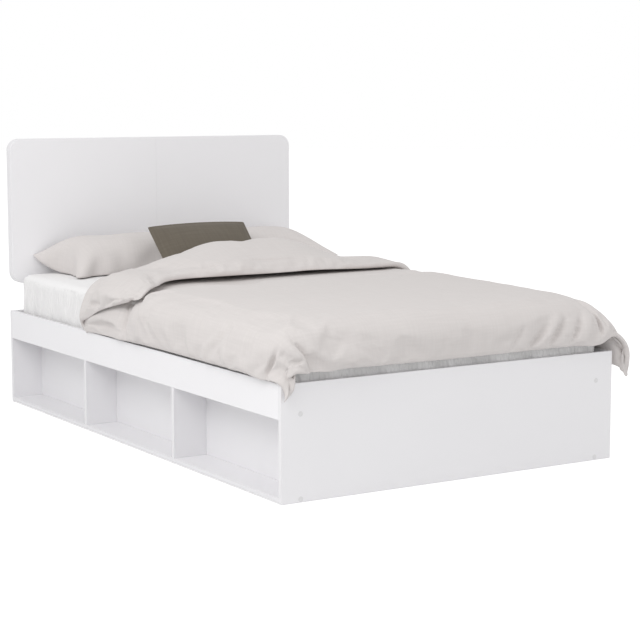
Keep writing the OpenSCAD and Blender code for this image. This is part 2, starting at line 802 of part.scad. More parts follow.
// A pillow rests flat on its underside, and its head edge rises against the headboard
module pillow(side) {
    t = pillow_t + (side > 0 ? pillow_more : 0);
    mid_x = pillow_x + side * (pillow_w / 2 + rest_gap);
    function lifted(p, up) = let (
        back = p[1] / pillow_d + 0.5, // 0 at the foot edge, 1 at the head edge
        outer = max(side * p[0] / pillow_w * 2, 0), // 0 at the pillow's middle, 1 at its outer end
        lift = pillow_sink * t + pillow_rise * back,
        edge = up * pad_rim / 2
    ) [
        p[0] - side * pillow_tuck * outer * back,
        p[1] - pillow_skew * (p[0] + mid_x) * (1 - back),
        max(p[2] + lift + edge, up < 0 ? 0 : pad_rim)
    ];
    function face(up) = [
        for (j = [0:pad_rows]) [
            for (i = [0:pad_cols])
                lifted(pad_point(pillow_w, pillow_d, t, pillow_draw,
                    spread(2 * i / pad_cols - 1), spread(2 * j / pad_rows - 1), up), up)
        ]
    ];
    color(linen) translate([mid_x, panel_y - rest_gap - pillow_d / 2, bed_top_z])
        layer_skin(face(1), face(-1));
}

module left_pillow() { pillow(-1); }
module right_pillow() { pillow(1); }

// The cushion leans on the pillows, with its lower edge on the mattress
cushion_foot_y = panel_y - pillow_d - cushion_gap;
cushion_foot_z = bed_top_z + pad_rim / 2 * cos(cushion_lean) + 1.4; // its full lower face clears the mattress

module cushion() {
    function face(up) = [
        for (j = [0:pad_rows]) [
            for (i = [0:pad_cols])
                pad_point(cushion_w, cushion_h, cushion_t, cushion_draw,
                    spread(2 * i / pad_cols - 1), spread(2 * j / pad_rows - 1), up) + [0, 0, up * pad_rim / 2]
        ]
    ];
    color("#645f58") translate([cushion_x, cushion_foot_y, cushion_foot_z])
        rotate([cushion_lean, 0, 0]) translate([0, cushion_h / 2, 0]) layer_skin(face(1), face(-1));
}

foot_panel();
head_panel();
left_side_rail();
right_side_rail();
left_bottom_shelf();
right_bottom_shelf();
left_top_shelf();
right_top_shelf();
left_shelf_back();
right_shelf_back();
for (i = [1:cubby_n - 1]) {
    divider(-1, i);
    divider(1, i);
}
centre_beam();
centre_leg();
leg_glide();
leg_stud();
foot_beam_hanger();
head_beam_hanger();
for (i = [1:slat_n])
    slat(i);
headboard_left_panel();
headboard_right_panel();
headboard_left_stile();
headboard_right_stile();
headboard_top_rail();
headboard_left_rail();
headboard_centre_rail();
headboard_right_rail();
headboard_left_leg();
headboard_right_leg();
panel_screws();
screw_covers();
carcass_screws();
rail_dowels();
corner_dowels();
slat_screws();
hanger_screws();
headboard_screws();
headboard_bolts();
headboard_nuts();
mattress();
duvet();
left_pillow();
right_pillow();
cushion();
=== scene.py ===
import math
import bmesh
import bpy
from mathutils import Matrix, Vector, noise


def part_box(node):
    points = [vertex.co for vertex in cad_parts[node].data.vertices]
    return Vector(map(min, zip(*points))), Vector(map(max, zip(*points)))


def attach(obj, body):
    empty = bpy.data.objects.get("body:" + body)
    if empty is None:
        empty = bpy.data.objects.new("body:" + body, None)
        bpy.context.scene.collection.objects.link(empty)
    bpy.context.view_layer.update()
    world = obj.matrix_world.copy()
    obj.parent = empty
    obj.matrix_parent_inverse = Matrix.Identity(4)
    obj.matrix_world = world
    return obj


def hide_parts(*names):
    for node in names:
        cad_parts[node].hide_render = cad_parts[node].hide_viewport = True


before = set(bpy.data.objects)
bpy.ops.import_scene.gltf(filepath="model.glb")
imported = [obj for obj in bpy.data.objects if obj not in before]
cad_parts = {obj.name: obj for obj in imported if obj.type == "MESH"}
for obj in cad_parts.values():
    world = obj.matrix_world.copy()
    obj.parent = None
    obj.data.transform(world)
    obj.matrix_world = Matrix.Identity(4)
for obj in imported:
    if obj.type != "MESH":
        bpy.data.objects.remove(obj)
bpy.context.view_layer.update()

weldGap = 0.00001  # metres: points nearer than this are one
levelGap = 0.0001  # metres: heights nearer than this are one


def colour(hexText):
    # sRGB hex to the linear values that the nodes take
    parts = [int(hexText[i:i + 2], 16) / 255 for i in (1, 3, 5)]
    return tuple(c / 12.92 if c <= 0.04045 else ((c + 0.055) / 1.055) ** 2.4 for c in parts) + (1.0,)


def addNode(tree, kind, settings=None, links=None):
    # an input takes a value, a node's first output, or a (node, output) pair
    # a Mix node of colours has its share at 0, its colours at 6 and 7, and its result at output 2
    node = tree.nodes.new("ShaderNode" + kind)
    for key, value in (settings or {}).items():
        setattr(node, key, value)
    for key, value in (links or {}).items():
        if isinstance(value, bpy.types.Node):
            tree.links.new(value.outputs[0], node.inputs[key])
        elif isinstance(value, tuple) and isinstance(value[0], bpy.types.Node):
            tree.links.new(value[0].outputs[value[1]], node.inputs[key])
        else:
            node.inputs[key].default_value = value
    return node


def emptyTree(owner):
    owner.use_nodes = True
    owner.node_tree.nodes.clear()
    return owner.node_tree


def startMaterial(name):
    material = bpy.data.materials.new(name)
    return material, emptyTree(material)


def finishMaterial(tree, inputs):
    # the surface shader, with what is linked to it and what is even all over
    shader = addNode(tree, "BsdfPrincipled", None, inputs)
    addNode(tree, "OutputMaterial", None, {"Surface": shader})


def waveScale(spacingMm):
    # upright or level bands stand 2 pi / 20 metres apart at scale 1, and diagonal ones twice that
    return 1000 * math.tau / 20 / spacingMm


def clamp(value, low=0.0, high=1.0):
    return min(max(value, low), high)


def ease(share):
    share = clamp(share)
    return share * share * (3 - 2 * share)


def lerp(a, b, share):
    return a + (b - a) * share


def bevelEdges(bm, edges, radius, segments):
    bmesh.ops.bevel(bm, geom=edges, offset=radius, offset_type="OFFSET", segments=segments, profile=0.5,
                    affect="EDGES", clamp_overlap=True, material=-1)


def dressPiece(bm, name, material, body, node):
    # a finished mesh becomes a piece of the object, in place of a CAD node
    mesh = bpy.data.meshes.new(name)
    bm.to_mesh(mesh)
    bm.free()
    piece = bpy.data.objects.new(name, mesh)
    bpy.context.scene.collection.objects.link(piece)
    mesh.materials.append(material)
    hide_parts(node)
    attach(piece, body)
    return piece


def dressSoftPiece(bm, name, material, body, node):
    # a padded piece is smooth and gets one subdivision
    for face in bm.faces:
        face.smooth = True
    piece = dressPiece(bm, name, material, body, node)
    soften = piece.modifiers.new("soften", "SUBSURF")
    soften.levels = soften.render_levels = 1


# camera: it stands low at the left foot corner, as in the photograph
cameraView = {
    "place": (-3.157, -5.267, 1.188),  # metres
    "turn": 32.07,  # degrees from +Y towards +X
    "tilt": 7.45,  # degrees below level
    "lens": 98.4, "sensor": 36.0,  # mm
    "farthest": 100.0,  # metres
}


def makeCamera(look):
    data = bpy.data.cameras.new("photoCamera")
    data.lens = look["lens"]
    data.sensor_width = look["sensor"]
    data.clip_end = look["farthest"]
    camera = bpy.data.objects.new("photoCamera", data)
    camera.location = look["place"]
    camera.rotation_euler = (math.radians(90 - look["tilt"]), 0, math.radians(-look["turn"]))
    bpy.context.scene.collection.objects.link(camera)
    bpy.context.scene.camera = camera


makeCamera(cameraView)
print("camera set")


# chipboard faced with white melamine foil, pressed:
# satin, faintly pearled, with a hair line at each banded edge
boardLook = {
    "white": "#eeedef", "shade": "#eae9eb", "band": "#e6e5e7", "cloudMm": 420,
    "smoothest": 0.39, "roughest": 0.47, "ior": 1.5,
    "pearlMm": 2.5, "pearlBump": 0.12, "pearlHigh": 0.0002,
}


def makeBoardMaterial(look):
    material, tree = startMaterial("pressedMelamine")
    coords = addNode(tree, "TexCoord")
    clouds = addNode(tree, "TexNoise", None, {
        "Vector": (coords, "Object"), "Scale": 1000 / look["cloudMm"], "Detail": 2.0})
    face = addNode(tree, "Mix", {"data_type": "RGBA"}, {
        0: clouds, 6: colour(look["white"]), 7: colour(look["shade"])})
    edge = addNode(tree, "Attribute", {"attribute_name": "edgeBand"})
    banded = addNode(tree, "Mix", {"data_type": "RGBA"}, {
        0: (edge, "Fac"), 6: (face, 2), 7: colour(look["band"])})
    pearl = addNode(tree, "TexNoise", None, {
        "Vector": (coords, "Object"), "Scale": 1000 / look["pearlMm"], "Detail": 1.0, "Roughness": 0.4})
    bump = addNode(tree, "Bump", None, {
        "Strength": look["pearlBump"], "Distance": look["pearlHigh"], "Height": pearl})
    gloss = addNode(tree, "MapRange", None, {
        "Value": clouds, "To Min": look["smoothest"], "To Max": look["roughest"]})
    finishMaterial(tree, {
        "Base Color": (banded, 2), "Roughness": gloss, "Normal": bump, "IOR": look["ior"]})
    return material


# pine, planed and left bare: pale yellow, soft stripes of darker late wood along the grain
pineLook = {
    "pale": "#e6cfa6", "late": "#cfa873", "rough": 0.62,
    "ringMm": 17.76, "ringStretch": 0.06, "ringWander": 6.0, "warpMm": 62.5,
    "fibreMm": 1.6, "fibreStretch": 0.02, "fibreShare": 0.25, "fibreBump": 0.25, "fibreHigh": 0.0004,
}


def makePineMaterial(look, name, turn):
    material, tree = startMaterial(name)
    coords = addNode(tree, "TexCoord")
    turned = addNode(tree, "Mapping", None, {"Vector": (coords, "Object"), "Rotation": turn})
    long = addNode(tree, "Mapping", None, {"Vector": turned, "Scale": (look["ringStretch"], 1.0, 1.0)})
    longer = addNode(tree, "Mapping", None, {"Vector": turned, "Scale": (look["fibreStretch"], 1.0, 1.0)})
    warp = addNode(tree, "TexNoise", None, {"Vector": long, "Scale": 1000 / look["warpMm"], "Detail": 3.0})
    rings = addNode(tree, "TexWave", {"wave_type": "BANDS", "bands_direction": "Y"}, {
        "Vector": long, "Scale": waveScale(look["ringMm"]), "Distortion": look["ringWander"],
        "Detail": 2.0, "Detail Scale": 0.6})
    fibres = addNode(tree, "TexNoise", None, {
        "Vector": longer, "Scale": 1000 / look["fibreMm"], "Detail": 2.0})
    share = addNode(tree, "Math", {"operation": "MULTIPLY"}, {0: (rings, "Fac"), 1: warp})
    wood = addNode(tree, "Mix", {"data_type": "RGBA"}, {
        0: share, 6: colour(look["pale"]), 7: colour(look["late"])})
    fine = addNode(tree, "Mix", {"data_type": "RGBA", "blend_type": "MULTIPLY"}, {
        0: look["fibreShare"], 6: (wood, 2), 7: (fibres, "Color")})
    bump = addNode(tree, "Bump", None, {
        "Strength": look["fibreBump"], "Distance": look["fibreHigh"], "Height": fibres})
    finishMaterial(tree, {"Base Color": (fine, 2), "Normal": bump, "Roughness": look["rough"]})
    return material


# steel, zinc plated and clear passivated: bright grey with a faint cloudy crystal pattern
zincLook = {"bright": "#c9cbcd", "dull": "#aeb1b4", "crystalMm": 3.846, "smoothest": 0.24, "roughest": 0.42}


def makeZincMaterial(look):
    material, tree = startMaterial("zincPlatedSteel")
    coords = addNode(tree, "TexCoord")
    crystals = addNode(tree, "TexNoise", None, {
        "Vector": (coords, "Object"), "Scale": 1000 / look["crystalMm"], "Detail": 3.0})
    tone = addNode(tree, "Mix", {"data_type": "RGBA"}, {
        0: crystals, 6: colour(look["bright"]), 7: colour(look["dull"])})
    gloss = addNode(tree, "MapRange", None, {
        "Value": crystals, "To Min": look["smoothest"], "To Max": look["roughest"]})
    finishMaterial(tree, {"Base Color": (tone, 2), "Roughness": gloss, "Metallic": 1.0})
    return material


# polyethylene, injection moulded: waxy, with the fine grain of a spark-eroded mould
mouldedLook = {"grainMm": 0.714, "grainShare": 0.08, "grainBump": 0.2, "grainHigh": 0.0001, "ior": 1.51}


def makeMouldedMaterial(look, name, tone, rough):
    material, tree = startMaterial(name)
    coords = addNode(tree, "TexCoord")
    grain = addNode(tree, "TexNoise", None, {
        "Vector": (coords, "Object"), "Scale": 1000 / look["grainMm"], "Detail": 1.0})
    tint = addNode(tree, "Mix", {"data_type": "RGBA", "blend_type": "MULTIPLY"}, {
        0: look["grainShare"], 6: colour(tone), 7: (grain, "Color")})
    bump = addNode(tree, "Bump", None, {
        "Strength": look["grainBump"], "Distance": look["grainHigh"], "Height": grain})
    finishMaterial(tree, {"Base Color": (tint, 2), "Normal": bump, "Roughness": rough, "IOR": look["ior"]})
    return material


# cotton, plain woven and washed: matt, a little fuzzy, with thicker threads that run here and there
# the threads are drawn about three times as coarse as real ones, so that they show
clothFeel = {
    "rough": 0.9, "sheenRough": 0.5, "specular": 0.25, "threadHigh": 0.0005, "threadWander": 0.6,
    "slubHigh": 0.8, "slubStretch": 0.05, "slubFaint": 0.15, "slubStrong": 0.4,
}
clothLooks = {
    "washedCotton": {
        "tone": "#d8d3d1", "thread": "#d4cfcd", "threadMm": 1.131, "slubMm": 6, "bump": 0.05, "sheen": 0.10},
    "taupeCotton": {
        "tone": "#6d665b", "thread": "#665f55", "threadMm": 1.257, "slubMm": 9, "bump": 0.07, "sheen": 0.08},
}


def makeClothMaterial(name, look, feel):
    material, tree = startMaterial(name)
    cloth = addNode(tree, "UVMap", {"uv_map": "cloth"})
    warp, weft = [addNode(tree, "TexWave", {"bands_direction": axis, "wave_profile": "SIN"}, {
        "Vector": cloth, "Scale": waveScale(look["threadMm"]), "Distortion": feel["threadWander"],
        "Detail Scale": 2.0}) for axis in "XY"]
    weave = addNode(tree, "Math", {"operation": "ADD"}, {0: (warp, "Fac"), 1: (weft, "Fac")})
    stretches = ((feel["slubStretch"], 1.0, 1.0), (1.0, feel["slubStretch"], 1.0))
    across, along = [addNode(tree, "TexNoise", None, {
        "Vector": addNode(tree, "Mapping", None, {"Vector": cloth, "Scale": stretch}),
        "Scale": 1000 / look["slubMm"], "Detail": 2.0}) for stretch in stretches]
    slubs = addNode(tree, "Math", {"operation": "MULTIPLY"}, {0: across, 1: along})
    share = addNode(tree, "MapRange", None, {
        "Value": slubs, "From Min": feel["slubFaint"], "From Max": feel["slubStrong"]})
    tone = addNode(tree, "Mix", {"data_type": "RGBA"}, {
        0: share, 6: colour(look["thread"]), 7: colour(look["tone"])})
    height = addNode(tree, "Math", {"operation": "MULTIPLY_ADD"}, {0: slubs, 1: feel["slubHigh"], 2: weave})
    bump = addNode(tree, "Bump", None, {
        "Strength": look["bump"], "Distance": feel["threadHigh"], "Height": height})
    finishMaterial(tree, {
        "Base Color": (tone, 2), "Normal": bump, "Roughness": feel["rough"], "Sheen Weight": look["sheen"],
        "Sheen Roughness": feel["sheenRough"], "Specular IOR Level": feel["specular"]})
    return material


# polyester jersey, knitted and stretched:
# bright white and soft, gathered in fine upright lines on the sides only
jerseyLook = {
    "light": "#f3f2f2", "shade": "#edecec", "rough": 0.92, "sheen": 0.1, "specular": 0.2,
    "gatherMm": 16.53, "gatherLean": 0.25, "gatherBump": 0.5, "gatherHigh": 0.005,
    "puffMm": 8.333, "puffShare": 0.09, "levelFrom": 0.5, "uprightFrom": 0.2,
}


def makeJerseyMaterial(look):
    material, tree = startMaterial("stretchJersey")
    coords = addNode(tree, "TexCoord")
    steep = addNode(tree, "Mapping", None, {
        "Vector": (coords, "Object"), "Scale": (1.0, 1.0, look["gatherLean"])})
    gathers = addNode(tree, "TexWave", {"bands_direction": "DIAGONAL"}, {
        "Vector": steep, "Scale": 2 * waveScale(look["gatherMm"]), "Distortion": 2.5, "Detail": 2.0,
        "Detail Scale": 1.5})
    facing = addNode(tree, "SeparateXYZ", None, {0: (coords, "Normal")})
    upright = addNode(tree, "MapRange", None, {
        "Value": (facing, "Z"), "From Min": look["levelFrom"], "From Max": look["uprightFrom"]})
    ribs = addNode(tree, "Math", {"operation": "MULTIPLY"}, {0: (gathers, "Fac"), 1: upright})
    puffs = addNode(tree, "TexNoise", None, {
        "Vector": (coords, "Object"), "Scale": 1000 / look["puffMm"], "Detail": 3.0})
    height = addNode(tree, "Math", {"operation": "MULTIPLY_ADD"}, {0: puffs, 1: look["puffShare"], 2: ribs})
    tone = addNode(tree, "Mix", {"data_type": "RGBA"}, {
        0: puffs, 6: colour(look["light"]), 7: colour(look["shade"])})
    bump = addNode(tree, "Bump", None, {
        "Strength": look["gatherBump"], "Distance": look["gatherHigh"], "Height": height})
    finishMaterial(tree, {
        "Base Color": (tone, 2), "Normal": bump, "Roughness": look["rough"], "Sheen Weight": look["sheen"],
        "Specular IOR Level": look["specular"]})
    return material


melamine = makeBoardMaterial(boardLook)
pineAcross = makePineMaterial(pineLook, "planedPineAcross", (0, 0, 0))
pineAlong = makePineMaterial(pineLook, "planedPineAlong", (0, 0, math.pi / 2))
pineUpright = makePineMaterial(pineLook, "planedPineUpright", (0, math.pi / 2, 0))
zinc = makeZincMaterial(zincLook)
capPlastic = makeMouldedMaterial(mouldedLook, "mouldedCapPlastic", "#e2e1e2", 0.5)
glidePlastic = makeMouldedMaterial(mouldedLook, "mouldedGlidePlastic", "#343434", 0.55)
washedCotton = makeClothMaterial("washedCotton", clothLooks["washedCotton"], clothFeel)
taupeCotton = makeClothMaterial("taupeCotton", clothLooks["taupeCotton"], clothFeel)
jersey = makeJerseyMaterial(jerseyLook)
print("materials made")


# boards: the cut edges are rounded a little and banded (metres and degrees)
boards = {
    "round": 0.0008, "timberRound": 0.0016, "slatRound": 0.003, "longEdge": 0.012,
    "sharpTurn": 40, "flatTurn": 0.5, "faceOn": 0.99, "seamReach": 0.004, "seamHalf": 0.0001,
}
whiteBoards = [
    "foot_panel", "head_panel", "left_side_rail", "right_side_rail", "left_bottom_shelf",
    "right_bottom_shelf", "left_top_shelf", "right_top_shelf", "left_shelf_back", "right_shelf_back",
    "left_divider_1", "left_divider_2", "right_divider_1", "right_divider_2", "headboard_left_panel",
    "headboard_right_panel", "headboard_left_stile", "headboard_right_stile", "headboard_top_rail",
    "headboard_left_rail", "headboard_centre_rail", "headboard_right_rail", "headboard_left_leg",
    "headboard_right_leg",
]
slats = [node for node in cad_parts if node.startswith("slat_") and node[5:].isdigit()]


def roundBoard(node, radius, material):
    bm = bmesh.new()
    bm.from_mesh(bpy.data.objects[node].data)
    if node in ("headboard_left_panel", "headboard_right_panel"):
        # the two panels are pushed together until only a hair line stays between them
        for v in bm.verts:
            if abs(v.co.x) < boards["seamReach"]:
                v.co.x = math.copysign(boards["seamHalf"], v.co.x)
    bmesh.ops.remove_doubles(bm, verts=bm.verts[:], dist=weldGap)
    bmesh.ops.dissolve_limit(
        bm, angle_limit=math.radians(boards["flatTurn"]), verts=bm.verts[:], edges=bm.edges[:])
    low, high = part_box(node)
    size = high - low
    thin = min(range(3), key=lambda axis: size[axis])
    sharp = [
        e for e in bm.edges if len(e.link_faces) == 2 and e.calc_length() > boards["longEdge"]
        and e.calc_face_angle(0) > math.radians(boards["sharpTurn"])
    ]
    bevelEdges(bm, sharp, radius, 2)
    band = bm.faces.layers.float.new("edgeBand")
    for face in bm.faces:
        face[band] = 0.0 if abs(face.normal[thin]) > boards["faceOn"] else 1.0
        face.smooth = False
    words = node.split("_")
    name = words[0] + "".join(word.capitalize() for word in words[1:]) + "Board"
    dressPiece(bm, name, material, "base", node)


for node in whiteBoards:
    roundBoard(node, boards["round"], melamine)
roundBoard("centre_beam", boards["timberRound"], pineAlong)
roundBoard("centre_leg", boards["timberRound"], pineUpright)
for node in slats:
    roundBoard(node, boards["slatRound"], pineAcross)
print("boards rounded")

fittings = {
    zinc: ["foot_beam_hanger", "head_beam_hanger", "leg_stud", "panel_screws", "carcass_screws",
           "slat_screws", "hanger_screws", "headboard_screws", "headboard_bolts", "headboard_nuts"],
    pineAcross: ["rail_dowels"],
    pineAlong: ["corner_dowels"],
    glidePlastic: ["leg_glide"],
}
for material, nodes in fittings.items():
    for node in nodes:
        for slot in bpy.data.objects[node].material_slots:
            slot.material = material
print("fittings finished")

# round stick-on covers: a shallow dome with a thin rim, over each long screw
covers = {
    "d": 0.016, "t": 0.0008, "steps": 36,
    # shares of the radius and of the thickness, from the middle of the dome round to the back
    "profile": [(0, 1), (0.5, 0.97), (0.8, 0.86), (0.8875, 0.66), (0.955, 0.5), (1, 0.3), (1, 0), (0, 0)],
}


def makeCovers(look):
    low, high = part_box("screw_covers")
    radius, thick = look["d"] / 2, look["t"]
    bm = bmesh.new()
    verts = [bm.verts.new((x * radius, 0, z * thick)) for x, z in look["profile"]]
    edges = [bm.edges.new(pair) for pair in zip(verts, verts[1:])]
    bmesh.ops.spin(bm, geom=verts + edges, cent=(0, 0, 0), axis=(0, 0, 1), angle=math.tau,
                   steps=look["steps"], use_merge=True)
    bmesh.ops.remove_doubles(bm, verts=bm.verts[:], dist=weldGap)
    bmesh.ops.recalc_face_normals(bm, faces=bm.faces[:])
    cap = bpy.data.meshes.new("cap")
    bm.to_mesh(cap)
    bm.clear()
    for end in (-1, 1):
        faceY = (high.y if end > 0 else low.y) - end * thick
        for x in (radius - high.x, high.x - radius):
            for z in (low.z + radius, high.z - radius):
                before = len(bm.verts)
                bm.from_mesh(cap)
                bm.verts.ensure_lookup_table()
                place = Matrix.Translation((x, faceY, z)) @ Matrix.Rotation(-end * math.pi / 2, 4, "X")
                bmesh.ops.transform(bm, matrix=place, verts=bm.verts[before:])
    for face in bm.faces:
        face.smooth = True
    bpy.data.meshes.remove(cap)
    dressPiece(bm, "screwCovers", capPlastic, "base", "screw_covers")


makeCovers(covers)
print("covers made")

# mattress: a foam core in a stretched jersey cover that ruches round its sides
mattress = {
    "cornerR": 0.062, "cornerSteps": 6, "edgeR": 0.035, "footR": 0.0175, "edgeSteps": 5, "cell": 0.0175,
    "topFacing": 0.3, "crown": 0.003, "dent": 0.0012, "dentTurns": 9.0,
    "sideFull": 1.2, "sideFall": 1.4, "ruche": 0.0075, "rucheMiddle": 0.5, "rucheMost": 1.4, "lean": 0.25,
    # the ruching's two waves: height, turns along the side, turns up the side, seed
    "waves": [(1.0, 34.0, 5.0, 1.3), (0.6, 70.0, 11.0, 4.7)],
    "fadeFoot": 0.03, "fadeTop": 0.04, "overTop": 0.01,
}


def makeMattress(look):
    low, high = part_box("mattress")
    size, middle = high - low, (high + low) / 2
    top = high.z - look["crown"]
    bm = bmesh.new()
    bmesh.ops.create_cube(bm, size=1.0)
    bmesh.ops.scale(bm, vec=(size.x, size.y, top - low.z), verts=bm.verts[:])
    bmesh.ops.translate(bm, vec=(middle.x, middle.y, (top + low.z) / 2), verts=bm.verts[:])
    upright = [e for e in bm.edges if abs(e.verts[0].co.z - e.verts[1].co.z) > levelGap]
    bevelEdges(bm, upright, look["cornerR"], look["cornerSteps"])
    for level, radius in ((top, look["edgeR"]), (low.z, look["footR"])):
        rim = [e for e in bm.edges if all(abs(v.co.z - level) < levelGap for v in e.verts)
               and any(abs(f.normal.z) < 0.5 for f in e.link_faces)]
        bevelEdges(bm, rim, radius, look["edgeSteps"])
    # cut into even cells; the cuts pass just beside the vertices that are there
    for axis, start, end in ((0, low.x, high.x), (1, low.y, high.y), (2, low.z, top)):
        count = max(round((end - start) / look["cell"]), 2)
        normal = [0, 0, 0]
        normal[axis] = 1
        for k in range(1, count):
            spot = [0, 0, 0]
            spot[axis] = lerp(start, end, k / count) + levelGap
            bmesh.ops.bisect_plane(
                bm, geom=bm.verts[:] + bm.edges[:] + bm.faces[:], plane_co=spot, plane_no=normal)
    bmesh.ops.triangulate(bm, faces=[f for f in bm.faces if len(f.verts) > 4])
    bm.normal_update()
    half = Vector((size.x / 2, size.y / 2))
    for v in bm.verts:
        p = v.co - middle
        edge = min(half.x - abs(p.x), half.y - abs(p.y))
        if v.normal.z > look["topFacing"]:
            share = clamp((edge - look["edgeR"]) / (half.x - look["edgeR"]))
            v.co.z += look["crown"] * math.sqrt(1 - (1 - share) ** 2)
            v.co.z -= look["dent"] * max(noise.noise(v.co * look["dentTurns"]), 0)
        side = ease(look["sideFull"] - abs(v.normal.z) * look["sideFall"])
        if side > 0:
            run = v.co.x + v.co.y + look["lean"] * (v.co.z - low.z)
            wave = sum(height * noise.noise(Vector((run * along, v.co.z * upward, seed)))
                       for height, along, upward, seed in look["waves"])
            fade = ease((v.co.z - low.z) / look["fadeFoot"])
            fade *= ease((high.z - v.co.z + look["overTop"]) / look["fadeTop"])
            depth = clamp(look["rucheMiddle"] + wave, 0, look["rucheMost"])
            v.co -= v.normal * look["ruche"] * side * fade * depth
    dressSoftPiece(bm, "mattress_foam", jersey, "mattress", "mattress")


makeMattress(mattress)
print("mattress made")


def sewnShell(columns, rows):
    # two layers of cloth, one grid each, joined round their rim
    # each vertex knows its column, its row and its layer, 1 above and -1 below
    bm = bmesh.new()
    bmesh.ops.create_grid(bm, x_segments=columns, y_segments=rows, size=1.0)
    layers = [bm.verts.layers.int.new(word) for word in ("column", "row", "layer")]
    for v in bm.verts:
        v[layers[0]] = round((v.co.x + 1) / 2 * columns)
        v[layers[1]] = round((v.co.y + 1) / 2 * rows)
        v[layers[2]] = 1
    copied = bmesh.ops.duplicate(bm, geom=bm.verts[:] + bm.edges[:] + bm.faces[:])["geom"]
    for item in copied:
        if isinstance(item, bmesh.types.BMVert):
            item[layers[2]] = -1
            item.co.z = -0.01
    bmesh.ops.reverse_faces(bm, faces=[item for item in copied if isinstance(item, bmesh.types.BMFace)])
    bmesh.ops.bridge_loops(bm, edges=[e for e in bm.edges if e.is_boundary])
    bmesh.ops.recalc_face_normals(bm, faces=bm.faces[:])
    return bm, layers


def layClothMap(bm, layers, spots):
    # the UV map is the flat cloth in metres
    uv = bm.loops.layers.uv.new("cloth")
    for face in bm.faces:
        for loop in face.loops:
            loop[uv].uv = spots[loop.vert[layers[0]], loop.vert[layers[1]]]


def zones(*parts):
    # stops at an even spacing within each zone, given as (end, spacing)
    stops, start = [0.0], 0.0
    for end, spacing in parts:
        count = max(round((end - start) / spacing), 1)
        stops += [lerp(start, end, k / count) for k in range(1, count + 1)]
        start = end
    return stops


# cloth simulation under air pressure, without gravity
clothSolver = {"quality": 5, "pointMass": 0.3, "shearPart": 3}


def blowUp(bm, look, pins=None):
    # pinned vertices stay, and the others move by the cap at most
    mesh = bpy.data.meshes.new("loose")
    bm.to_mesh(mesh)
    loose = bpy.data.objects.new("loose", mesh)
    scene = bpy.context.scene
    scene.collection.objects.link(loose)
    cloth = loose.modifiers.new("cloth", "CLOTH")
    settings = cloth.settings
    settings.quality = clothSolver["quality"]
    settings.mass = clothSolver["pointMass"]
    settings.tension_stiffness = settings.compression_stiffness = look["stiff"]
    settings.shear_stiffness = look["stiff"] / clothSolver["shearPart"]
    settings.bending_stiffness = look["bending"]
    settings.shrink_min = -look["grow"]
    settings.use_pressure = True
    settings.uniform_pressure_force = look["pressure"]
    settings.effector_weights.gravity = 0
    cloth.collision_settings.use_collision = False
    if pins:
        group = loose.vertex_groups.new(name="pins")
        for index, weight in enumerate(pins):
            group.add([index], weight, "REPLACE")
        settings.vertex_group_mass = "pins"
        settings.pin_stiffness = look["hold"]
    cloth.point_cache.frame_start, cloth.point_cache.frame_end = 1, look["frames"]
    for step in range(1, look["frames"] + 1):
        scene.frame_set(step)
    shaped = loose.evaluated_get(bpy.context.evaluated_depsgraph_get())
    moves = [point.co - v.co for v, point in zip(bm.verts, shaped.data.vertices)]
    for v, move in zip(bm.verts, moves):
        v.co += move * min(look["cap"] / max(move.length, 0.000001), 1)
    bpy.data.objects.remove(loose)
    bpy.data.meshes.remove(mesh)
    scene.frame_set(1)


# duvet: the cover of a thin filled quilt, laid over the bed, with its head end turned down
# across counts from the middle line and along from the foot hem, on the flat cloth (metres and degrees)
duvet = {
    "restZ": 0.4968, "bedHalfW": 0.600, "bedHalfL": 0.998, "thick": 0.028, "edgeThick": 0.015, "air": 0.010,
    # the hanging sides and foot
    "bendR": 0.075, "hang": 80, "sideDrop": 0.150, "footDrop": 0.122, "leftFlare": 12, "rightFlare": 38,
    "bendFlare": 0.6, "leftMerge": 1.7,
    # the turned-down head end, with the roll that its fold makes
    "creaseY": 0.415, "lift": 0.130, "layer": 0.042, "flap": 0.300, "slant": 0.080, "rightSlant": 0.4,
    "short": 0.085, "foldStart": -60, "foldTurn": 150, "roll": 0.073, "rollX": 0.040, "rollHalf": 0.462,
    "rollSlope": 0.36, "liftBulge": 0.08, "foldBulge": 0.3, "flapFlat": 0.85, "measureU": 0.05,
    "turnStart": 0.05, "turnSpan": 0.08, "freeStart": 0.06, "freeSpan": 0.10,
    "coverS": 1.11, "coverHalf": 0.57, "coverSpan": 0.06,
    # where its left end is pressed flat on the layer below it
    "pressX": 0.42, "pressSpan": 0.12, "pressShare": 0.5, "clear": 0.003, "pressedClear": 0.015,
    # the filling
    "puff": 0.022, "swell": 0.003, "puckerSpan": 0.05,
    "puffs": [(0.006, 3.2, 2.0), (0.002, 9, 7.0)], "puckers": [(0.0026, 30, 0.5)],  # height, turns, seed
    "creaseBefore": 0.4, "creaseAfter": 0.8, "hemPin": 0.12, "facePin": 0.04,
    "stiff": 12, "bending": 0.4, "grow": 0.02, "pressure": 0.6, "hold": 1.0, "frames": 16, "cap": 0.012,
}
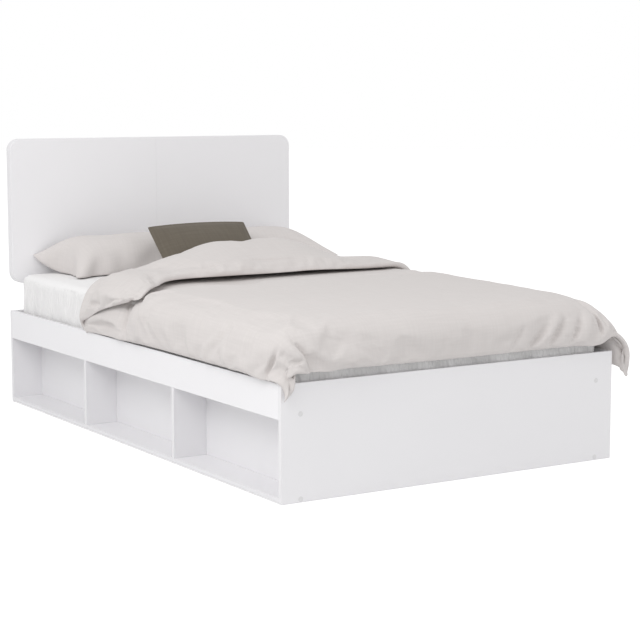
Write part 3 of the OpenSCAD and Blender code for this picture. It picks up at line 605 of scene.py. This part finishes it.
# places where the cloth is drawn out of its even lie: across, along, span across, span along, move
duvetPulls = [
    (-0.71, 0.02, 0.08, 0.08, (0.042, 0.000, -0.006)),
    (0.00, 0.00, 0.60, 0.06, (0.000, 0.000, -0.009)),
    (0.02, 1.93, 0.34, 0.10, (0.000, 0.000, -0.019)),
    (0.00, 1.16, 0.45, 0.08, (0.000, 0.000, -0.004)),
    (0.58, 1.93, 0.18, 0.12, (0.000, 0.000, 0.012)),
    (-0.04, 1.60, 0.24, 0.14, (0.000, 0.000, -0.009)),
    (0.56, 1.64, 0.18, 0.20, (0.000, 0.000, -0.008)),
    (-0.62, 1.36, 0.16, 0.24, (0.005, 0.000, -0.007)),
    (-0.30, 1.13, 0.26, 0.07, (0.000, 0.000, -0.007)),
    (-0.54, 1.12, 0.10, 0.08, (0.000, 0.000, -0.008)),
    (-0.56, 1.68, 0.18, 0.18, (0.000, 0.000, -0.014)),
    (0.58, 0.50, 0.14, 0.40, (0.000, 0.000, -0.004)),
    (-0.62, 1.95, 0.08, 0.16, (0.000, -0.088, 0.000)),
    (-0.66, 1.91, 0.06, 0.12, (-0.012, -0.042, -0.014)),
    (-0.75, 1.72, 0.07, 0.20, (-0.004, 0.000, -0.012)),
    (-0.743, 1.93, 0.08, 0.12, (0.022, -0.056, 0.000)),
    (-0.62, 1.93, 0.09, 0.11, (-0.026, -0.034, -0.034)),
    (-0.40, 1.93, 0.14, 0.20, (0.000, 0.040, 0.000)),
    (-0.70, 1.60, 0.10, 0.16, (0.030, 0.000, -0.014)),
    (-0.58, 1.66, 0.12, 0.15, (0.000, 0.000, -0.018)),
    (0.48, 1.72, 0.22, 0.25, (0.000, 0.000, -0.017)),
    (0.64, 1.72, 0.13, 0.27, (0.010, 0.000, -0.018)),
    (0.55, 0.17, 0.12, 0.13, (0.000, 0.000, -0.015)),
    (0.600, 0.130, 0.08, 0.09, (-0.010, 0.000, -0.010)),
    (0.660, 0.055, 0.05, 0.06, (0.012, 0.000, 0.002)),
    (0.66, 0.00, 0.045, 0.05, (0.020, -0.004, 0.032)),
    (0.61, 0.00, 0.035, 0.04, (0.006, 0.000, 0.034)),
    (0.743, 0.00, 0.07, 0.07, (-0.027, 0.000, 0.018)),
    (0.625, 0.078, 0.06, 0.06, (0.012, 0.000, 0.003)),
    (0.705, 0.035, 0.04, 0.04, (0.013, 0.000, 0.000)),
    (0.743, 0.18, 0.07, 0.22, (0.000, 0.000, -0.050)),
]
# places where it is pressed thinner: across, along, span across, span along, share taken away
duvetThins = [
    (-0.30, 1.13, 0.26, 0.07, 0.50),
    (-0.68, 1.28, 0.10, 0.16, 0.40),
    (-0.64, 1.42, 0.16, 0.28, 0.50),
    (-0.54, 1.12, 0.10, 0.08, 0.55),
    (0.56, 1.66, 0.20, 0.22, 0.35),
    (0.60, 0.50, 0.14, 0.42, 0.35),
    (-0.66, 1.66, 0.14, 0.18, 0.35),
    (-0.62, 1.93, 0.14, 0.10, 0.35),
]
# round folds of the outer face: across and along at each end, height, width
duvetFolds = [
    (-0.618, 0.120, -0.585, -0.010, 0.011, 0.026),
    (-0.660, 0.100, -0.640, -0.030, 0.010, 0.026),
    (-0.560, 0.120, -0.500, 0.000, 0.006, 0.022),
    (-0.590, 0.920, -0.740, 0.990, 0.012, 0.030),
    (-0.685, 1.400, -0.682, 1.120, 0.010, 0.022),
    (-0.670, 1.740, -0.720, 1.840, 0.008, 0.020),
    (0.375, 0.085, 0.310, 0.005, 0.006, 0.018),
    (0.505, 0.105, 0.490, 0.005, 0.008, 0.020),
    (-0.280, 1.860, 0.100, 1.845, 0.006, 0.022),
    (-0.490, 0.080, -0.430, 0.030, 0.010, 0.045),
    (-0.680, 0.630, -0.750, 0.600, 0.008, 0.018),
    (-0.690, 0.500, -0.750, 0.525, 0.007, 0.016),
    (-0.685, 0.395, -0.750, 0.370, 0.008, 0.018),
    (-0.695, 0.275, -0.750, 0.285, 0.007, 0.014),
    (-0.330, 1.876, 0.200, 1.872, 0.006, 0.014),
]
# sharp creases of the outer face, pressed in mostly after the simulation, because that rounds them off
duvetCreases = [
    (-0.581, 0.084, -0.534, -0.002, -0.028, 0.0045),
    (-0.640, 0.110, -0.748, 0.162, -0.019, 0.0055),
    (-0.620, 0.220, -0.735, 0.290, -0.006, 0.012),
    (-0.590, 1.125, -0.650, 1.092, -0.030, 0.020),
    (-0.640, 1.095, -0.710, 1.105, -0.034, 0.018),
    (-0.700, 1.150, -0.706, 1.300, -0.010, 0.008),
    (-0.715, 1.430, -0.712, 1.080, -0.010, 0.008),
    (-0.712, 1.075, -0.748, 1.085, -0.010, 0.008),
    (-0.690, 1.660, -0.730, 1.770, -0.024, 0.010),
    (0.235, 0.065, 0.195, 0.000, -0.012, 0.008),
    (0.330, 0.062, 0.262, 0.000, -0.022, 0.008),
    (0.400, 0.080, 0.345, 0.002, -0.024, 0.008),
    (0.468, 0.088, 0.432, 0.006, -0.024, 0.008),
    (0.548, 0.105, 0.556, 0.040, -0.020, 0.007),
    (-0.360, 1.856, -0.120, 1.838, -0.012, 0.009),
    (-0.120, 1.838, 0.200, 1.854, -0.012, 0.009),
    (-0.745, 1.790, -0.712, 1.870, -0.014, 0.008),
    (-0.738, 1.868, -0.120, 1.868, -0.0045, 0.006),
]
# the same in the inner face
duvetInnerCreases = [
    (0.670, 0.110, 0.690, 0.000, -0.020, 0.010),
    (0.712, 0.080, 0.700, 0.005, -0.014, 0.008),
]
# pleats, where the cloth on the left of the line laps over that on its right: points, height, width
duvetPleats = [
    ([(-0.532, 0.000), (-0.546, 0.034), (-0.565, 0.062), (-0.579, 0.082)], 0.009, 0.015),
    ([(-0.440, 1.130), (-0.545, 1.060), (-0.603, 0.998), (-0.640, 0.965), (-0.690, 0.930)], 0.010, 0.030),
]
# how folds, creases and pleats die away: beside them, in widths, and towards their ends, in half waves
foldForm = {
    "reach": 4, "sharp": 1.3, "endFrom": 0.12, "endSpan": 0.80,
    "pleatStep": 0.004, "pleatEndFrom": 0.06, "pleatEndSpan": 0.88,
}


def duvetShape(look):
    hang, bendR, creaseY, layerZ = math.radians(look["hang"]), look["bendR"], look["creaseY"], look["layer"]
    bendX = look["bedHalfW"] + look["thick"] / 2 + look["air"] - bendR
    bendY = -look["bedHalfL"] - look["thick"] / 2 - look["air"] + bendR
    bent = bendR * (1 - math.cos(hang))
    halfW = bendX + bendR * hang + (look["sideDrop"] - bent) / math.sin(hang)
    footRun = (look["footDrop"] - bent) / math.sin(hang)
    midZ = look["restZ"] + look["thick"] / 2
    liftY = creaseY - look["lift"]

    def crossRow(y, drop=0, layer=0, bulge=0, flare=0, slant=0, short=0):
        return y, drop, layer, bulge, flare, slant, short

    # rows across the bed, from the foot hem up, over the top, round the fold and back along the flap
    rows = []
    for k in (2, 1):
        s = footRun * k / 2
        rows.append(crossRow(bendY - bendR * math.sin(hang) - s * math.cos(hang), bent + s * math.sin(hang),
                             flare=lerp(look["bendFlare"], 1, k / 2)))
    for k in (5, 4, 3, 2, 1):
        a = hang * k / 5
        rows.append(crossRow(bendY - bendR * math.sin(a), bendR * (1 - math.cos(a)),
                             flare=look["bendFlare"] * ease(k / 5)))
    rows += [crossRow(lerp(bendY, liftY, k / 8)) for k in range(8)]
    rows += [crossRow(liftY), crossRow(lerp(liftY, creaseY, 0.5), bulge=look["liftBulge"], slant=0.5)]
    creaseRow = len(rows) + 2
    for k in range(5):
        a = math.radians(look["foldStart"] + look["foldTurn"] * k / 4)
        rows.append(crossRow(creaseY - layerZ + layerZ * math.cos(a), layer=layerZ / 2 * (1 + math.sin(a)),
                             bulge=lerp(look["foldBulge"], 1, k / 4), slant=1))
    for k in range(1, 6):
        part = k / 5
        rows.append(crossRow(creaseY - layerZ - (look["flap"] - layerZ) * part, layer=layerZ,
                             bulge=1 - look["flapFlat"] * ease(part), slant=1, short=part))

    def spot(row, u):
        # a point of the middle surface, u from -1 to 1 across the bed
        y, fallFoot, layer, bulge, flare, slant, short = row
        left = u < 0
        angle = hang - math.radians(look["leftFlare"] if left else look["rightFlare"]) * flare
        radius = bendR + layer
        a = abs(u) * (halfW - (look["short"] * short if left else 0))
        bendL = radius * angle
        turn = clamp((a - bendX) / bendL) * angle
        straight = max(a - bendX - bendL, 0)
        x = min(a, bendX) + radius * math.sin(turn) + straight * math.cos(angle)
        fall = radius * (1 - math.cos(turn)) + straight * math.sin(angle)
        merge = look["leftMerge"] if left else 1
        drop = (fall ** merge + max(fallFoot, 0) ** merge) ** (1 / merge)
        x = -x if left else x
        swell = look["roll"] * bulge * ease((look["rollHalf"] - abs(x - look["rollX"])) / look["rollSlope"])
        y += slant * look["slant"] * u * (1 if left else look["rightSlant"])
        return Vector((x, y, midZ + layer - drop + swell))

    # distance of each row from the foot hem, along the cloth
    lengths = [0.0]
    for before, after in zip(rows, rows[1:]):
        step = spot(after, look["measureU"]) - spot(before, look["measureU"])
        lengths.append(lengths[-1] + step.length)

    def rowAt(s):
        # a smooth curve through the rows' values
        k = max(i for i in range(len(lengths) - 1) if lengths[i] <= s + 1e-9)
        gap = lengths[k + 1] - lengths[k]
        t = (s - lengths[k]) / gap

        def slope(i, value):
            a, b = max(i - 1, 0), min(i + 1, len(rows) - 1)
            return (rows[b][value] - rows[a][value]) / (lengths[b] - lengths[a])

        made = []
        for value in range(len(rows[0])):
            p, q = rows[k][value], rows[k + 1][value]
            m, n = slope(k, value) * gap, slope(k + 1, value) * gap
            made.append((2 * t ** 3 - 3 * t ** 2 + 1) * p + (t ** 3 - 2 * t ** 2 + t) * m
                        + (3 * t ** 2 - 2 * t ** 3) * q + (t ** 3 - t ** 2) * n)
        return made

    return halfW, lengths[-1], lengths[creaseRow], rowAt, spot


def nearness(a, s, atA, atS, spanA, spanS):
    # 1 at a place of the flat cloth, falling to nothing round it
    return math.exp(-((a - atA) / spanA) ** 2 - ((s - atS) / spanS) ** 2)


def unevenness(a, s, waves):
    return sum(height * noise.noise(Vector((a * turns, s * turns, seed))) for height, turns, seed in waves)


def foldHeight(a, s, folds, form):
    # sum of the round folds and sharp creases at a place of the flat cloth
    total = 0.0
    for a1, s1, a2, s2, height, width in folds:
        along = Vector((a2 - a1, s2 - s1))
        place = Vector((a - a1, s - s1))
        t = clamp(place.dot(along) / along.length_squared)
        off = (place - along * t).length / width
        if off < form["reach"]:
            fade = math.exp(-off * off) if height > 0 else math.exp(-form["sharp"] * off)
            total += height * fade * math.sin(math.pi * (form["endFrom"] + form["endSpan"] * t))
    return total


def pleatHeight(a, s, pleats, form):
    # a step across each line, that fades away from it and towards its ends
    total = 0.0
    for points, height, width in pleats:
        nearest = None
        for k, (start, end) in enumerate(zip(points, points[1:])):
            along = Vector(end) - Vector(start)
            place = Vector((a, s)) - Vector(start)
            t = clamp(place.dot(along) / along.length_squared)
            off = (place - along * t).length
            if nearest is None or off < nearest[0]:
                nearest = (off, along.cross(place), (k + t) / (len(points) - 1))
        off, side, t = nearest
        if off < form["reach"] * width:
            step = math.tanh(off / form["pleatStep"]) * math.exp(-off / width)
            step *= math.sin(math.pi * (form["pleatEndFrom"] + form["pleatEndSpan"] * t))
            total += math.copysign(height * step, side)
    return total


def pulledBy(a, s, pulls):
    # sum of the moves at a place of the flat cloth
    total = Vector()
    for *place, move in pulls:
        total += Vector(move) * nearness(a, s, *place)
    return total


def keepAbove(point, half, free, look):
    # the turned-down part lies on the part below it and doesn't sink in
    bendX = look["bedHalfW"] + look["thick"] / 2 + look["air"] - look["bendR"]
    axisZ = look["restZ"] + look["thick"] / 2 - look["bendR"]
    pressed = ease((-point.x - look["pressX"]) / look["pressSpan"])
    below = look["bendR"] + look["thick"] / 2 * (1 - look["pressShare"] * pressed)
    clear = below + half + lerp(look["clear"], look["pressedClear"], pressed)
    off = Vector((max(abs(point.x) - bendX, 0) * (1 if point.x > 0 else -1), 0, point.z - axisZ))
    if off.z > 0 and off.length < clear:
        raised = off.normalized() * clear
        return point.lerp(Vector((point.x - off.x + raised.x, point.y, axisZ + raised.z)), free)
    return point


def makeDuvet(look):
    halfW, length, turnS, rowAt, spot = duvetShape(look)
    # the mesh is finest where the sharp creases are, at the foot hem and beside the corners
    across = zones((0.18, 0.016), (0.50, 0.0095), (0.535, 0.0065), (0.605, 0.0042), (0.68, 0.0065),
                   (halfW, 0.007))
    across = [-a for a in across[:0:-1]] + across
    along = zones((0.16, 0.0047), (0.28, 0.010), (0.66, 0.0125), (0.88, 0.019), (1.16, 0.0115),
                  (turnS - 0.12, 0.016), (turnS + 0.06, 0.011), (length - 0.10, 0.010), (length, 0.0065))
    lastRow, lastColumn = len(along) - 1, len(across) - 1
    bm, layers = sewnShell(lastColumn, lastRow)
    middle = []
    for s in along:
        row = rowAt(s)
        middle.append([spot(row, a / halfW) + pulledBy(a, s, duvetPulls) for a in across])
    spots, pins, creases = {}, [], []
    for v in bm.verts:
        i, j, layer = (v[word] for word in layers)
        a, s = across[i], along[j]
        spots[i, j] = (a, s)
        right = middle[j][min(i + 1, lastColumn)] - middle[j][max(i - 1, 0)]
        onward = middle[min(j + 1, lastRow)][i] - middle[max(j - 1, 0)][i]
        normal = right.cross(onward).normalized()
        edge = min(halfW - abs(a), s, length - s)
        full = 1 - math.exp(-edge / look["puff"])
        half = look["edgeThick"] / 2 + (look["thick"] - look["edgeThick"]) / 2 * full
        for *place, share in duvetThins:
            half *= 1 - share * nearness(a, s, *place)
        # the outer face is the upper layer as far as the fold, and the lower one on the turned-down part
        turned = ease((s - turnS + look["turnStart"]) / look["turnSpan"])
        outer = turned if layer < 0 else 1 - turned
        covered = ease((s - look["coverS"]) / look["coverSpan"]) * (1 - turned)
        covered *= ease((look["coverHalf"] - abs(a)) / look["coverSpan"])
        outer *= 1 - covered
        free = ease((s - turnS - look["freeStart"]) / look["freeSpan"])
        middlePoint = keepAbove(middle[j][i], half, free, look)
        puff = unevenness(a, s, look["puffs"])
        pucker = unevenness(a, s, look["puckers"]) * math.exp(-edge / look["puckerSpan"])
        crease = foldHeight(a, s, duvetCreases, foldForm) + pleatHeight(a, s, duvetPleats, foldForm)
        fold = foldHeight(a, s, duvetFolds, foldForm)
        rise = outer * (full * (puff + look["swell"]) + pucker + fold + look["creaseBefore"] * crease)
        v.co = middlePoint + normal * layer * (half + rise)
        pins.append(lerp(1.0, lerp(look["hemPin"], look["facePin"], full), outer))
        if outer > 0.5:
            creases.append(outer * look["creaseAfter"] * crease)
        else:
            creases.append(foldHeight(a, s, duvetInnerCreases, foldForm))
    layClothMap(bm, layers, spots)
    blowUp(bm, look, pins)
    bm.normal_update()
    moves = [v.normal * depth for v, depth in zip(bm.verts, creases)]
    for v, move in zip(bm.verts, moves):
        v.co += move
    dressSoftPiece(bm, "duvet_cover", washedCotton, "duvet", "duvet")


makeDuvet(duvet)
print("duvet made")


# stuffed pads: two squares of cloth sewn together, blown up by their filling, then set down on the bed
padCloth = {
    "cell": 0.012, "seamHalf": 0.0015, "startHeight": 0.01, "startPower": 0.5, "quickPower": 0.36,
    "smoothShare": 0.5, "stiff": 15, "bending": 0.2, "grow": 0.0, "cap": 0.2, "hold": 1.0,
}
pillowLie = {
    "flat": (0.64, 0.42), "foot": 0.6396, "sink": 0.28, "frontSink": 0.55, "dipPower": 0.6,
    "earAt": 0.25, "earSpan": 0.16, "shoulderAt": 0.52, "shoulderSpan": 0.34, "settle": 0.014,
    "pressure": 5.0, "frames": 20, "rimHeld": False,
}
leftPillow = {
    "size": (0.592, 0.36, 0.166), "x": -0.2764, "side": -1, "rise": 0.042, "tilt": 0.044, "skew": 0.05,
    "tuck": 0.040, "tuckFront": 0.075, "bow": 0.022, "dip": 0.034, "ear": 0.016, "full": 0.50,
    "shoulder": 0.024, "smooth": 22, "fill": 0.7,
}
rightPillow = {
    "size": (0.596, 0.36, 0.185), "x": 0.3284, "side": 1, "rise": 0.030, "tilt": 0.028, "skew": 0.08,
    "tuck": 0.010, "tuckFront": 0.02, "bow": 0.0, "dip": 0.0, "ear": 0.0, "full": 0.0,
    "shoulder": 0.0, "smooth": 12, "fill": 0.75,
}
cushion = {
    "flat": (0.45, 0.29), "size": (0.420, 0.265, 0.076), "x": 0.011, "foot": 0.508, "above": 0.0035,
    "lean": 45, "squat": 0.955, "topBow": 0.010, "topTilt": 0.005, "slip": 0.022, "border": 0.35,
    "pressure": 2.0, "frames": 14, "rimHeld": True, "smooth": 1, "fill": 0.6,
}
bedTop = duvet["restZ"]


def lieDown(p, look):
    # a pillow rises towards its back, thins and tucks in at its outer end, and sinks in a little
    width, depth, height = look["size"]
    back = p.y / depth + 0.5
    outer = max(look["side"] * p.x / width * 2, 0)
    z = p.z * (1 + look["full"] * outer ** 2)
    z += look["sink"] * height * lerp(look["frontSink"], 1, back) + look["rise"] * back
    dip = look["dip"] * outer ** 2 * math.sin(math.pi * clamp(back)) ** look["dipPower"]
    z += look["tilt"] * p.x / width - dip
    z += look["ear"] * outer ** 4 * math.exp(-((back - look["earAt"]) / look["earSpan"]) ** 2)
    z += look["shoulder"] * back * math.exp(-((outer - look["shoulderAt"]) / look["shoulderSpan"]) ** 2)
    z = (z + math.sqrt(z * z + look["settle"] ** 2)) / 2
    x = look["x"] + p.x - look["side"] * outer * lerp(look["tuckFront"], look["tuck"], back)
    y = look["foot"] + back * depth - look["skew"] * (p.x + look["x"]) * (1 - back)
    y -= look["bow"] * (1 - back) * (1 - outer ** 2)
    return Vector((x, y, bedTop + z))


def leanBack(p, look):
    # the cushion stands on the duvet and leans against the pillows
    lean = math.radians(look["lean"])
    width, depth = look["size"][:2]
    share = p.y / depth + 0.5
    bow = 1 - (2 * p.x / width) ** 2
    up = (p.y + depth / 2) * look["squat"] + share * (look["topBow"] * bow + look["topTilt"] * p.x / width)
    slip = look["slip"] * (1 - share) * max(-p.x / width, 0)
    return Vector((look["x"] + p.x + slip, look["foot"] + up * math.cos(lean) - p.z * math.sin(lean),
                   bedTop + look["above"] + up * math.sin(lean) + p.z * math.cos(lean)))


def makePad(node, name, look, settle, material, body):
    width, depth = look["flat"]
    columns, rows = round(width / look["cell"]), round(depth / look["cell"])
    bm, layers = sewnShell(columns, rows)
    spots = {}
    power = look["startPower"]
    height = look["startHeight"]
    for v in bm.verts:
        i, j, layer = (v[word] for word in layers)
        x, y = (i / columns - 0.5) * width, (j / rows - 0.5) * depth
        spots[i, j] = (x, y)
        bulge = max((1 - (2 * x / width) ** 2) * (1 - (2 * y / depth) ** 2), 0)
        v.co = Vector((x, y, layer * (look["seamHalf"] + height * bulge ** power)))
    layClothMap(bm, layers, spots)
    # steps in from the seam of each vertex
    steps = [min(i, columns - i, j, rows - j) for i, j in ((v[layers[0]], v[layers[1]]) for v in bm.verts)]
    blowUp(bm, look, [1.0 if step == 0 else 0.0 for step in steps] if look["rimHeld"] else None)
    for k in range(look["smooth"]):
        bmesh.ops.smooth_vert(bm, verts=bm.verts[:], factor=look["smoothShare"],
                              use_axis_x=True, use_axis_y=True, use_axis_z=True)
    if look["rimHeld"]:
        # the seam's turned-in edge stands as a flat border
        for v, step in zip(bm.verts, steps):
            if step == 1:
                v.co.z *= look["border"]
    low = Vector([min(v.co[k] for v in bm.verts) for k in range(3)])
    high = Vector([max(v.co[k] for v in bm.verts) for k in range(3)])
    scale = [look["size"][k] / (high[k] - low[k]) for k in range(3)]
    for v in bm.verts:
        v.co = settle(Vector([(v.co[k] - (low[k] + high[k]) / 2) * scale[k] for k in range(3)]), look)
    dressSoftPiece(bm, name, material, body, node)


makePad("left_pillow", "leftPillow", {**padCloth, **pillowLie, **leftPillow}, lieDown,
        washedCotton, "pillows")
makePad("right_pillow", "rightPillow", {**padCloth, **pillowLie, **rightPillow}, lieDown,
        washedCotton, "pillows")
makePad("cushion", "cushionCover", {**padCloth, **cushion}, leanBack, taupeCotton, "cushion")
print("pads made")


# studio: white floor and surround, one broad lamp from the left above, one weak one from the front
studio = {
    "worldStrength": 0.73, "floorTone": "#e9e9e9", "floorGlow": 0.5, "floorR": 30.0, "floorZ": -0.0005,
    "lamps": [
        {"name": "broadLamp", "place": (-3.4, -1.6, 3.3), "aim": (0, 0, 0.4), "size": 3.0, "power": 78},
        {"name": "frontLamp", "place": (2.4, -5.0, 2.6), "aim": (0, 0, 0.6), "size": 3.0, "power": 32},
    ],
}


def seenShare(tree):
    # 1 for what is seen by the camera, in a gloss or through glass, and 0 for light that falls on things
    path = addNode(tree, "LightPath")
    seen = (path, "Is Camera Ray")
    for ray in ("Is Glossy Ray", "Is Transmission Ray"):
        seen = addNode(tree, "Math", {"operation": "MAXIMUM"}, {0: seen, 1: (path, ray)})
    return seen


def makeStudio(look):
    scene = bpy.context.scene
    world = bpy.data.worlds.new("studioWorld")
    tree = emptyTree(world)
    level = addNode(tree, "MapRange", None, {
        "Value": seenShare(tree), "To Min": look["worldStrength"], "To Max": 1.0})
    sky = addNode(tree, "Background", None, {"Color": (1, 1, 1, 1), "Strength": level})
    addNode(tree, "OutputWorld", None, {"Surface": sky})
    scene.world = world
    for lamp in look["lamps"]:
        data = bpy.data.lights.new(lamp["name"], "AREA")
        data.shape = "DISK"
        data.size = lamp["size"]
        data.energy = lamp["power"]
        light = bpy.data.objects.new(lamp["name"], data)
        light.location = lamp["place"]
        aim = Vector(lamp["aim"]) - Vector(lamp["place"])
        light.rotation_euler = aim.to_track_quat("-Z", "Y").to_euler()
        scene.collection.objects.link(light)

    # painted plywood floor, matt white
    # it glows a little for the camera, so that it reads as the white surround
    material, tree = startMaterial("mattStudioFloor")
    glow = addNode(tree, "Math", {"operation": "MULTIPLY"}, {0: seenShare(tree), 1: look["floorGlow"]})
    matt = addNode(tree, "BsdfDiffuse", None, {"Color": colour(look["floorTone"])})
    shine = addNode(tree, "Emission", None, {"Color": (1, 1, 1, 1), "Strength": glow})
    both = addNode(tree, "AddShader", None, {0: matt, 1: shine})
    addNode(tree, "OutputMaterial", None, {"Surface": both})
    bm = bmesh.new()
    bmesh.ops.create_circle(bm, cap_ends=True, segments=64, radius=look["floorR"])
    bmesh.ops.translate(bm, vec=(0, 0, look["floorZ"]), verts=bm.verts[:])
    mesh = bpy.data.meshes.new("studioFloor")
    bm.to_mesh(mesh)
    bm.free()
    mesh.materials.append(material)
    floor = bpy.data.objects.new("studioFloor", mesh)
    scene.collection.objects.link(floor)
    scene.view_settings.view_transform = "Standard"


makeStudio(studio)
print("studio made")
